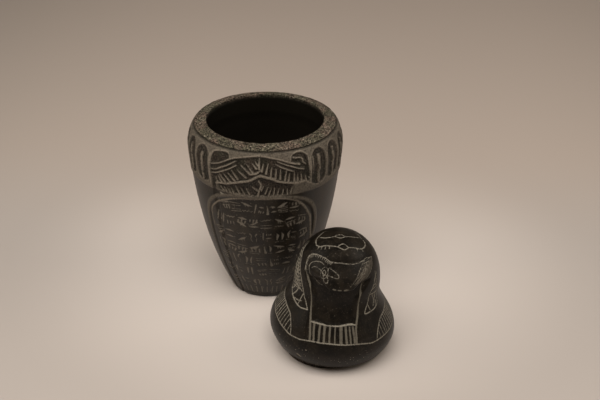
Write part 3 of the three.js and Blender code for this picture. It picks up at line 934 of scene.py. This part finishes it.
@dataclass(frozen=True)
class LidLines:
    """The lines cut into the lid: the ring, collar, lappets, wig feathers, brow, eyes and beak."""

    ring: tuple[Point, ...] = (
        (-180, 33), (-110, 33), (-85, 32.8), (-73, 32), (-63, 31.2), (-55, 30.2), (-47, 29.2), (-41, 29), (-33.5, 29.3),
        (-24.5, 30.5), (-12, 31.2), (0, 31.4), (10, 31.2), (20, 30.8), (26, 30.4), (33, 29.5), (40, 29), (54, 29.6),
        (74, 30), (110, 32), (180, 33),
    )
    collar_bars: tuple[tuple[float, float, float], ...] = (
        (-23.8, -20.2, 1.3), (-16.8, -15.2, 1.4), (-11.6, -10, 1.4), (-6, -4.8, 1.2), (-0.4, 0.4, 0.9), (6, 6.4, 2.0),
        (11.2, 11.6, 1.4), (15.6, 15.6, 1.1), (19.4, 19.6, 1.3),
    )
    collar_top: float = 42.8
    lappets: tuple[tuple[Point, ...], ...] = (
        ((-23.6, 31), (-25.6, 36.8), (-28.6, 42.6), (-31.8, 48), (-34, 53.2), (-36, 58), (-38.8, 64), (-43, 68.6),
         (-47.2, 71.4), (-52.8, 75.5), (-58, 79.5)),
        ((21.6, 31), (22, 37.8), (23.4, 43.2), (26.8, 50), (28.8, 55.8), (30, 62.2), (33, 67.5), (35.6, 72.2),
         (41.6, 76.8), (50.4, 80.2), (59.2, 84), (66, 87.4)),
    )
    brow: tuple[Point, ...] = (
        (-57, 77), (-58, 79.5), (-60, 82.5), (-62.4, 85.8), (-59.2, 88.2), (-52, 89.5), (-42, 90), (-30.4, 90),
        (-22, 89), (-15.2, 88.8), (2.4, 89), (13.2, 88.5), (24.8, 88.2), (34.8, 88.2), (43.6, 88.5), (53.2, 89),
        (66.4, 87.5),
    )
    left_eye: tuple[tuple[Point, ...], ...] = (
        ((-45.6, 81.2), (-42.4, 83), (-36.8, 83.4), (-30.8, 83), (-25.6, 81.9), (-20, 81), (-13.6, 81.4),
         (-7.2, 80.9), (-2.8, 80.8)),
        ((-18, 83.6), (-18, 85.5), (-14.8, 85.4), (-8.4, 84.2), (-3.2, 82.9), (-1.6, 81.5), (-2.8, 80.8)),
        ((-22.8, 80.6), (-21.6, 78.5), (-19.6, 76.8), (-16, 76.6), (-15.2, 78.6), (-17.2, 80.7)),
    )
    left_cheek: tuple[Point, ...] = (
        (-23.2, 70.6), (-30, 71.3), (-36.8, 73.5), (-43.6, 75.8), (-48.4, 78.7), (-50.8, 82), (-49.2, 84.5),
        (-42, 86.4), (-34, 86.9), (-27.6, 86.2),
    )
    right_eye: tuple[tuple[Point, ...], ...] = (
        ((13, 75), (21, 79), (28, 82.8), (35.5, 86), (45, 88), (60, 88)), ((18, 76), (26, 78.2), (33, 80)),
        ((20, 78.8), (28, 80.6), (34, 82.4), (30, 79.4), (38, 84), (44, 83), (40, 86.4)), ((27, 74.5), (34, 78), (40, 79)),
        ((28, 82.6), (37, 80.9), (43, 85), (50, 84.6)), ((22, 76), (31, 77), (36, 81.4)), ((30, 72.5), (37, 76.5)),
        ((38, 86.6), (47, 87), (56, 87)), ((42, 81.2), (48, 86.5)), ((48, 83), (55, 87)), ((24, 81), (30, 84), (38, 85)),
    )
    beak_chips: tuple[Point, ...] = ((-6.5, 73.6), (-1, 73.3), (6.5, 73.0), (8, 73.4))
    eye_centre: Point = (-22.8, 82.0)
    eye_radii: Point = (2.7, 3.5)
    seed: int = 71

    @staticmethod
    def widening(angle: float) -> float:
        """How much wider a line is cut on the sides than in front."""
        return 1.0 + 0.7 * float(smooth((abs(angle) - 45.0) / 35.0))

    def net(self) -> list[tuple[Array, list[float]]]:
        """Short crossed strokes that fill the left side of the wig behind the long feather line."""
        rng = np.random.default_rng(self.seed + 3)
        heights = (57.0, 64.0, 73.0, 81.0, 84.0)
        strokes = []
        for z in np.arange(60.0, 87.0, 2.1):
            start = np.interp(z, heights, (-50.0, -55.0, -66.0, -78.0, -86.0)) - 3.0
            for rise in (-4.0, 3.0):
                end = start - rng.uniform(14, 26)
                path = [(start, z + rng.uniform(-0.5, 0.5)), (end, z + rise + rng.uniform(-1, 1))]
                strokes.append((np.array(path), [0.7, rng.uniform(0.7, 1.0)]))
        return strokes

    def hatching(self) -> list[tuple[Array, list[float]]]:
        """Feather strokes round the shoulder, between the ring and a line above it."""
        rng = np.random.default_rng(self.seed)
        top = np.array([(44.5, 30), (47, 34.5), (52, 38.5), (58, 41.2), (69, 42.8), (79, 43.6), (110, 44), (180, 44)])
        rim_x, rim_z = np.array(self.ring).T
        strokes: list[tuple[Array, list[float]]] = []
        for side in (-1.0, 1.0):
            rim = [(side * angle, z) for angle, z in top]
            strokes.append((bend(rim, 8), [0.8, 0.9, 0.7]))
            for angle in np.arange(48.5, 179.0, 4.0):
                high = np.interp(angle, *top.T)
                start, lean = side * angle, side * rng.uniform(0.8, 2.4)
                low = np.interp(start + lean, rim_x, rim_z)
                width = rng.uniform(0.6, 0.9) * self.widening(angle)
                strokes.append((np.array([(start + lean, low), (start, high)]), [0.8 * width, width, 0.8 * width]))
        return strokes

    def wig(self) -> list[tuple[Array, list[float]]]:
        """The loose crossed feather lines on the wig's sides."""
        paths: tuple[tuple[Point, ...], ...] = (
            ((-84, 76), (-82, 66), (-84, 56), (-75.2, 52), (-67.6, 50.5), (-61.2, 49.2), (-54.4, 48.5),
             (-48.4, 48.2), (-36.8, 49.2)),
            ((-36.8, 49.2), (-44, 54), (-48, 56.2), (-50.8, 59.8), (-54.8, 64.2), (-60, 69), (-66.8, 73.5),
             (-72.8, 77.8), (-78, 81), (-88, 84)),
            ((-80, 63), (-76, 61.2), (-71, 60.2), (-61.6, 60), (-53.2, 59.2)),
            ((-71, 51.2), (-66.8, 54.2), (-63.2, 58), (-62, 62)), ((-53.6, 49), (-52.8, 54), (-50.4, 58.2)),
            ((-64, 50.6), (-57.2, 51), (-50, 52.5)), ((-80, 53), (-74, 56.2), (-69, 61.8), (-67, 68)),
            ((-80, 68), (-72, 64), (-60, 67)), ((-82, 72), (-74, 70), (-68, 73)), ((-76, 66), (-74, 72), (-76, 78)),
            ((62, 78), (60.8, 74.2), (55.2, 68.2), (47.6, 62), (44.4, 56.2), (39, 51.5), (37.2, 48.8), (44.8, 48.5),
             (56, 49.5), (64.8, 52.5), (65.6, 60.8), (64, 68), (62, 75.5)),
            ((47.6, 62), (56.8, 61), (68.4, 61)), ((43.2, 54.8), (44.8, 52.2), (46.4, 49.8)),
            ((52.8, 60.5), (56.4, 55.2), (52.8, 51.2)), ((58, 60.6), (60, 55), (58, 51)),
            ((50, 65), (57, 65.5), (65, 66)), ((54, 68), (60, 68), (64, 71)), ((57, 71), (60, 74), (66, 77)),
        )
        widths = [self.widening(np.mean([angle for angle, _ in points])) for points in paths]
        lines = [(bend(points), [0.6 * w, 0.85 * w, 0.6 * w]) for points, w in zip(paths, widths)]
        return [*lines, (bend([(-76, 80), (-86, 83.5), (-92, 86), (-100, 89.5)]), [0.7, 1.0, 1.3])]

    def ticks(self) -> list[tuple[Array, list[float]]]:
        """Short strokes that hang from the brow line on the left."""
        rng = np.random.default_rng(self.seed + 1)
        line = bend(self.brow[:10], 5)
        middle = np.array([-34.0, 79.0])
        strokes = []
        for place in line[1::2]:
            inward = (middle - place) * (0.5, 1.0)
            reach = rng.uniform(1.4, 2.1) * self.widening(place[0]) / np.hypot(*inward)
            strokes.append((np.array([place, place + (middle - place) * reach]), [0.6, 0.45]))
        return strokes

    def carve(self, surface: Surface) -> None:
        """Cut every line."""
        dull = [(bend(points), [1.5, 1.4, 1.1, 0.9, 0.7]) for points in self.lappets]
        for top, bottom, width in self.collar_bars:
            dull.append((np.array([(top, self.collar_top - 1.0), (bottom, 31.8)]), [1.3 * width, 1.1 * width, 1.15 * width]))
        fine = [(bend(self.ring, 4), [0.9, 0.9, 1.0, 0.9, 0.9]), (bend(self.brow), [0.7, 0.8, 0.6, 0.6])]
        fine += [(bend([(-28, 42.6), (-11, 42.5), (4, 42.8), (22.5, 43.3)]), [0.9, 0.8, 1.0])]
        fine += [(bend(points), [0.35, 0.5, 0.4]) for points in self.left_eye]
        fine += [(bend(self.left_cheek), [0.3, 0.5, 0.7, 0.6, 0.5])]
        fine += [(bend(points), [0.2, 0.4, 0.2]) for points in self.right_eye]
        degrees = math.degrees(1.0 / 27.0)
        turns = np.linspace(0, 2 * math.pi, 13)
        for part in (1.0, 0.45):
            across = self.eye_centre[0] + part * self.eye_radii[0] * degrees * np.cos(turns)
            up = self.eye_centre[1] + part * self.eye_radii[1] * np.sin(turns)
            fine.append((np.column_stack([across, up]), [0.4, 0.4]))
        scratched = surface.chart.layer([(bend([(20, 75.5), (34, 79.5), (48, 84), (60, 86.5)]), [2.0, 9.0, 8.0, 3.0])])
        surface.most("rub", 0.3 * smooth((0.5 - scratched) / 2.5))
        surface.cut("mark", surface.chart.layer(dull), 0.4)
        surface.cut("line", surface.chart.layer([*fine, *self.hatching(), *self.wig(), *self.net(), *self.ticks()]), 0.4)
        rng = np.random.default_rng(self.seed + 2)
        nicks = [
            (np.array([(a, z), (a + rng.uniform(2, 3.5), z + rng.uniform(-0.4, 0.4))]), [rng.uniform(1.0, 1.5), 0.7])
            for a, z in self.beak_chips
        ]
        surface.cut("mark", surface.chart.layer(nicks), 0.25)


@dataclass(frozen=True)
class CrownMark:
    """The long double-ended figure cut on the crown, seen from above."""

    outlines: tuple[tuple[Point, ...], ...] = (
        ((-12.2, 5.6), (-14, 4.2), (-16, 1.7), (-17.9, -0.4), (-18.9, -3.6), (-18.3, -8)),
        ((-18.3, -8), (-16, -10.8), (-13.2, -11.6), (-8.7, -13), (-3, -14.4)),
        ((-2.9, -14.5), (-0.9, -12.9), (1.2, -12.2), (3.1, -12.7), (5.1, -14.4)),
        ((-2.9, -14.5), (-0.3, -16.1), (2.4, -16.3), (5.1, -14.4)),
        ((5.1, -14.4), (9, -13.1), (13, -12.2), (16.4, -9.5), (18.1, -5.7), (18.1, -2.8), (16.5, -0.2), (14.7, 1.5),
         (12.3, 4.7), (9.9, 5.6)),
        ((-16.2, -1.1), (-12.3, -4.1), (-8.7, -5), (-5.5, -4.9)),
        ((-5.5, -4.9), (-3.4, -3.4), (0.1, -3), (2.4, -4.8)),
        ((-5.5, -4.9), (-2.3, -6.5), (0.5, -6.2), (2.4, -4.8)),
        ((2.4, -4.8), (6.2, -3.5), (10, -2.4), (14.6, 0.6)),
    )
    ticks: tuple[tuple[Point, Point], ...] = (
        ((-16.4, -10.4), (-17.6, -12)), ((-14.2, -11.4), (-15.2, -13.6)), ((-11.6, -12.2), (-12.3, -14.6)),
        ((-9, -13), (-9.3, -15.2)), ((11.4, -12.8), (12.2, -14.4)), ((15, -11), (16.6, -12)),
    )

    def carve(self, surface: Surface) -> None:
        """Cut the figure."""
        x, y = surface.plain[:, 0], surface.plain[:, 1]
        reached = surface.height > 86.0
        wave = 0.25 * Lumps(4.0, 81).at(surface.plain)
        chart = Chart(x + wave, np.where(reached, y + wave, 1e3), np.ones(len(x)), lambda p: p)
        lines = [(bend(points), [0.6, 0.75, 0.6]) for points in self.outlines]
        lines += [(points, [0.7, 0.45]) for points in self.ticks]
        surface.cut("line", chart.layer(lines), 0.45)


@dataclass
class FalconLid:
    """The lid, set down beside the jar."""

    form: LidForm
    face: Face
    lines: LidLines
    crown: CrownMark
    finish: "StoneFinish"

    def build(self) -> bpy.types.Object:
        """Carve the lid and dress it."""
        skin, first, last = self.form.skin()
        surface = Surface.unroll(skin, first, last, 0.0, seed=55)
        self.face.carve(surface, self.form.ring)
        self.lines.carve(surface)
        self.crown.carve(surface)
        outside = surface.height > 0
        surface.depth += np.where(outside, 0.2 * Lumps(22.0, 91).at(surface.plain), 0.0)
        chip = surface.chart.layer([([(-34, 14.5), (-31.5, 13.5)], [2.6, 1.6])])
        surface.cut("line", chip, 0.5)
        surface.most("dust", 0.2 + 0.8 * between(surface.height, 8.0, 26.0, 6.0))
        surface.most("raw", 0.5 * (1.0 - smooth((surface.height - 8.2) / 0.8)))
        piece = surface.skin.mesh("carved_lid", self.form.stand(surface.points()), surface.masks)
        self.finish.dress(piece)
        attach(piece, "root")
        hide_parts("falcon_lid")
        return piece


class Value:
    """A number that is worked out at each point of a material, with ordinary arithmetic."""

    def __init__(self, shader: "Shader", socket: bpy.types.NodeSocket) -> None:
        self.shader = shader
        self.socket = socket

    def __add__(self, other: "Value | float") -> "Value":
        return self.shader.math("ADD", self, other)

    def __sub__(self, other: "Value | float") -> "Value":
        return self.shader.math("SUBTRACT", self, other)

    def __mul__(self, other: "Value | float") -> "Value":
        return self.shader.math("MULTIPLY", self, other)

    def __rsub__(self, other: "Value | float") -> "Value":
        return self.shader.math("SUBTRACT", other, self)

    __radd__ = __add__
    __rmul__ = __mul__


Colour = tuple[float, float, float]


class Shader:
    """One material's nodes."""

    def __init__(self, name: str) -> None:
        self.material = bpy.data.materials.new(name)
        self.material.use_nodes = True
        self.tree = self.material.node_tree
        self.tree.nodes.clear()

    def node(self, kind: str, settings: dict | None = None, inputs: dict | None = None) -> bpy.types.Node:
        """Add a node.

        Args:
            kind: Its type.
            settings: Its properties, set before anything is plugged in.
            inputs: A number, a colour or a Value for each input that is used.

        Returns:
            The new node.
        """
        node = self.tree.nodes.new(kind)
        for name, value in (settings or {}).items():
            setattr(node, name, value)
        for name, value in (inputs or {}).items():
            if isinstance(value, Value):
                self.tree.links.new(value.socket, node.inputs[name])
            elif isinstance(value, tuple) and node.inputs[name].type == "RGBA":
                node.inputs[name].default_value = (*value[:3], 1.0)
            else:
                node.inputs[name].default_value = value
        return node

    def out(self, node: bpy.types.Node, name: str | int = 0) -> Value:
        """One of a node's outputs."""
        return Value(self, node.outputs[name])

    def math(self, operation: str, a: Value | float, b: Value | float) -> Value:
        """Two numbers joined by an operation."""
        return self.out(self.node("ShaderNodeMath", {"operation": operation}, {0: a, 1: b}))

    def mask(self, name: str) -> Value:
        """A value that the carved skin carries."""
        return self.out(self.node("ShaderNodeAttribute", {"attribute_name": name}), "Fac")

    def noise(self, size: float, detail: float = 2.0, shift: float = 0.0) -> Value:
        """Unevenness through the stone, about 0.5 on average, with lumps `size` millimetres apart."""
        place = self.out(self.node("ShaderNodeTexCoord"), "Object")
        moved = self.out(self.node("ShaderNodeVectorMath", {"operation": "ADD"}, {0: place, 1: (shift, shift, shift)}))
        inputs = {"Vector": moved, "Scale": 1.0 / (size * MM), "Detail": detail, "Roughness": 0.6}
        return self.out(self.node("ShaderNodeTexNoise", {"noise_dimensions": "3D"}, inputs), "Fac")

    def step(self, value: Value, low: float, high: float) -> Value:
        """Ease from 0 to 1 as the value goes from low to high."""
        settings = {"interpolation_type": "SMOOTHSTEP", "clamp": True}
        inputs = {"Value": value, "From Min": low, "From Max": high}
        return self.out(self.node("ShaderNodeMapRange", settings, inputs), "Result")

    def mix(self, factor: Value, a: "Value | Colour", b: "Value | Colour") -> Value:
        """A colour between two."""
        mixer = self.node("ShaderNodeMix", {"data_type": "RGBA", "clamp_factor": True}, {"Factor": factor})
        for socket, colour in ((mixer.inputs[6], a), (mixer.inputs[7], b)):
            if isinstance(colour, Value):
                self.tree.links.new(colour.socket, socket)
            else:
                socket.default_value = (*colour, 1.0)
        return self.out(mixer, 2)

    def finish(self, surface: dict) -> bpy.types.Material:
        """Close the material with one surface.

        Args:
            surface: Inputs of the surface.

        Returns:
            The finished material.
        """
        body = self.out(self.node("ShaderNodeBsdfPrincipled", None, surface))
        self.node("ShaderNodeOutputMaterial", None, {"Surface": body})
        return self.material


@dataclass(frozen=True)
class StoneFinish:
    """Dark, close-grained stone, waxed where it is smooth and pale where a tool has cut it."""

    name: str
    dark: Colour = (0.0058, 0.0044, 0.0030)
    brown: Colour = (0.0200, 0.0145, 0.0088)
    raw_dark: Colour = (0.006, 0.0048, 0.0034)
    raw_light: Colour = (0.165, 0.122, 0.093)
    raw_green: Colour = (0.118, 0.108, 0.074)
    fleck: Colour = (0.34, 0.29, 0.23)
    rubbed: Colour = (0.190, 0.162, 0.128)
    cut: Colour = (0.25, 0.225, 0.18)
    mark: Colour = (0.165, 0.145, 0.118)
    # Colour of the painted shade in recesses, pits, the groove under the lip and the jar's hollow.
    hollow: Colour = (0.006, 0.005, 0.0035)
    gloss: float = 0.36
    cut_strength: float = 0.85
    mark_strength: float = 0.9
    shine: float = 1.39

    def dress(self, piece: bpy.types.Object) -> None:
        """Give a piece this finish."""
        piece.data.materials.append(self.material())

    def material(self) -> bpy.types.Material:
        """Build the material."""
        s = Shader(self.name)
        ragged = s.noise(0.9, 3.0, 0.3) - 0.5
        coarse, grain, patchy = s.noise(9.0, 3.0, 0.1), s.noise(1.2, 4.0, 0.2), s.noise(7.0, 2.0, 0.8)
        raw, rub, dust, painted_shade = (s.mask(name) for name in ("raw", "rub", "dust", "painted_shade"))
        line = s.step(0.2 - s.mask("line") + 0.9 * ragged, 0.0, 0.5) * s.step(grain, 0.28, 0.5)
        mark = s.step(0.2 - s.mask("mark") + 0.9 * ragged, 0.0, 0.45) * s.step(coarse, 0.1, 0.45)
        flecks = s.step(s.noise(1.1, 2.0, 0.5), 0.58, 0.64) * s.step(patchy, 0.35, 0.55)
        motes = s.step(s.noise(1.3, 1.0, 0.7), 0.70, 0.74)

        colour = s.mix(s.step(coarse, 0.35, 0.7), self.dark, self.brown)
        raw_light = s.mix(s.step(s.noise(12.0, 2.0, 0.4), 0.42, 0.58), self.raw_light, self.raw_green)
        rough_stone = s.mix(s.step(grain, 0.41, 0.62), self.raw_dark, raw_light)
        colour = s.mix(raw * 0.9, colour, rough_stone)
        colour = s.mix(rub * s.step(grain, 0.22, 0.55), colour, self.rubbed)
        colour = s.mix(mark * self.mark_strength, colour, self.mark)
        colour = s.mix(line * self.cut_strength, colour, self.cut)
        colour = s.mix(flecks * (raw * 0.7 + 0.04), colour, self.fleck)
        colour = s.mix(motes * dust * 0.7, colour, self.fleck)
        # Painted shade: darken the stone towards the hollow colour where the carving's shade mask is set.
        colour = s.mix(painted_shade, colour, self.hollow)

        worn = s.math("MAXIMUM", s.math("MAXIMUM", raw, rub), s.math("MAXIMUM", line, mark))
        roughness = s.math("MINIMUM", self.gloss + 0.14 * coarse + 0.45 * worn, 0.95)
        height = grain * (0.3 + raw) + s.noise(0.5, 2.0, 0.9) * (0.12 + raw * 0.6 + rub * 0.3)
        settings = {"Height": height, "Strength": 0.55, "Distance": 0.0003}
        normal = s.out(s.node("ShaderNodeBump", None, settings), "Normal")
        return s.finish({"Base Color": colour, "Roughness": roughness, "Normal": normal, "IOR": self.shine})


@dataclass(frozen=True)
class PaperFinish:
    """Pale matt paper, with painted light round the jar and painted shade, a little browner, towards the back and the
    sides.
    """

    # Painted light: the paper round the jar and lid is lightened in place of the light that falls there.
    painted_light_round_jar: Colour = (0.610, 0.552, 0.515)
    # near, far and sides are painted shade: the paper darkened away from the jar, towards the back and at the sides,
    # for the light's falloff.
    near: Colour = (0.435, 0.392, 0.365)
    far: Colour = (0.455, 0.390, 0.347)
    sides: Colour = (0.250, 0.225, 0.205)
    middle: tuple[float, float, float] = (0.03, 0.04, 0.0)

    def material(self) -> bpy.types.Material:
        """Build the material."""
        s = Shader("pale_paper")
        place = s.out(s.node("ShaderNodeTexCoord"), "Object")
        settings = {"operation": "DISTANCE"}
        away = s.out(s.node("ShaderNodeVectorMath", settings, {0: place, 1: self.middle}), "Value")
        parts = s.node("ShaderNodeSeparateXYZ", None, {"Vector": place})
        beside = s.math("ABSOLUTE", s.out(parts, "X") - 0.06, 0.0)
        # Painted light round the jar, fading to painted shade further out.
        colour = s.mix(s.step(away, 0.10, 0.27), self.painted_light_round_jar, self.near)
        # Painted shade towards the back.
        colour = s.mix(s.step(s.out(parts, "Y"), 0.05, 0.28), colour, self.far)
        # Painted shade towards the sides.
        colour = s.mix(s.step(beside, 0.15, 0.7) * 0.7, colour, self.sides)
        return s.finish({"Base Color": colour, "Roughness": 0.9, "Specular IOR Level": 0.1})


@dataclass(frozen=True)
class Lamp:
    """One soft lamp over the table."""

    name: str
    place: tuple[float, float, float]
    size: Point
    power: float
    mirrored: bool
    colour: Colour = (1.0, 0.955, 0.90)

    def hang(self) -> None:
        """Hang it so that it faces the jar; an unmirrored lamp isn't seen in the polish."""
        lamp = bpy.data.lights.new(self.name, "AREA")
        lamp.shape, lamp.size, lamp.size_y = "RECTANGLE", *self.size
        lamp.energy, lamp.color = self.power, self.colour
        holder = bpy.data.objects.new(self.name, lamp)
        holder.location = self.place
        aim = Vector((0.03, -0.05, 0.05)) - Vector(self.place)
        holder.rotation_euler = aim.to_track_quat("-Z", "Y").to_euler()
        holder.visible_glossy = self.mirrored
        bpy.context.scene.collection.objects.link(holder)


@dataclass(frozen=True)
class Studio:
    """A plain pale table under broad soft lights, and the camera."""

    paper: PaperFinish = PaperFinish()
    paper_size: float = 8.0
    world: Colour = (0.80, 0.69, 0.56)
    world_strength: float = 0.20
    eye: tuple[float, float, float] = (94.4, -952.1, 587.2)
    aim: tuple[float, float, float] = (61.86, 0.0, 4.0)
    lens: float = 79.1
    lamps: tuple[Lamp, ...] = (
        Lamp("overhead", (-0.1, -0.6, 1.25), (1.3, 1.0), 20.0, False),
        Lamp("left", (-1.1, -0.3, 0.9), (0.8, 0.8), 4.0, True, (1.0, 0.90, 0.76)),
        Lamp("right", (1.1, -0.1, 0.9), (0.8, 0.8), 4.5, True, (1.0, 0.90, 0.78)),
    )

    def build(self) -> bpy.types.Object:
        """Lay the table, hang the lamps and set up the camera."""
        half = self.paper_size / 2
        data = bpy.data.meshes.new("table_top")
        corners = [(-half, -half, 0.0), (half, -half, 0.0), (half, half, 0.0), (-half, half, 0.0)]
        data.from_pydata(corners, [], [(0, 1, 2, 3)])
        data.materials.append(self.paper.material())
        floor = bpy.data.objects.new("table_top", data)
        bpy.context.scene.collection.objects.link(floor)
        for lamp in self.lamps:
            lamp.hang()
        self.light_room()
        self.set_camera()
        return floor

    def light_room(self) -> None:
        """Fill the room with faint warm light."""
        world = bpy.data.worlds.new("room")
        world.use_nodes = True
        back = world.node_tree.nodes["Background"]
        back.inputs["Color"].default_value = (*self.world, 1.0)
        back.inputs["Strength"].default_value = self.world_strength
        bpy.context.scene.world = world

    def set_camera(self) -> None:
        """Stand the camera in front of the jar, looking down."""
        lens = bpy.data.cameras.new("camera")
        lens.lens, lens.sensor_width = self.lens, 36.0
        camera = bpy.data.objects.new("camera", lens)
        camera.location = Vector(self.eye) * MM
        camera.rotation_euler = Euler([math.radians(a) for a in self.aim])
        bpy.context.scene.collection.objects.link(camera)
        bpy.context.scene.camera = camera
        bpy.context.scene.view_settings.view_transform = "Standard"


def main() -> None:
    """Build the jar, the lid and the studio."""
    logging.basicConfig(level=logging.INFO, format="%(message)s")
    stone = StoneFinish("jar_stone_finish")
    darker = StoneFinish(
        "lid_stone_finish", dark=(0.0032, 0.0025, 0.0018), brown=(0.0110, 0.0082, 0.0054), mark=(0.115, 0.102, 0.080),
        cut=(0.245, 0.222, 0.18), shine=1.29,
    )
    jar = Jar(JarForm(), ShoulderBand(), TextPanel(), Lip(), stone)
    lid = FalconLid(LidForm(), Face(), LidLines(), CrownMark(), darker)
    for part in (jar, lid, Studio()):
        piece = part.build()
        LOG.info("%s: %d faces", piece.name, len(piece.data.polygons))


if __name__ == "__main__":
    main()
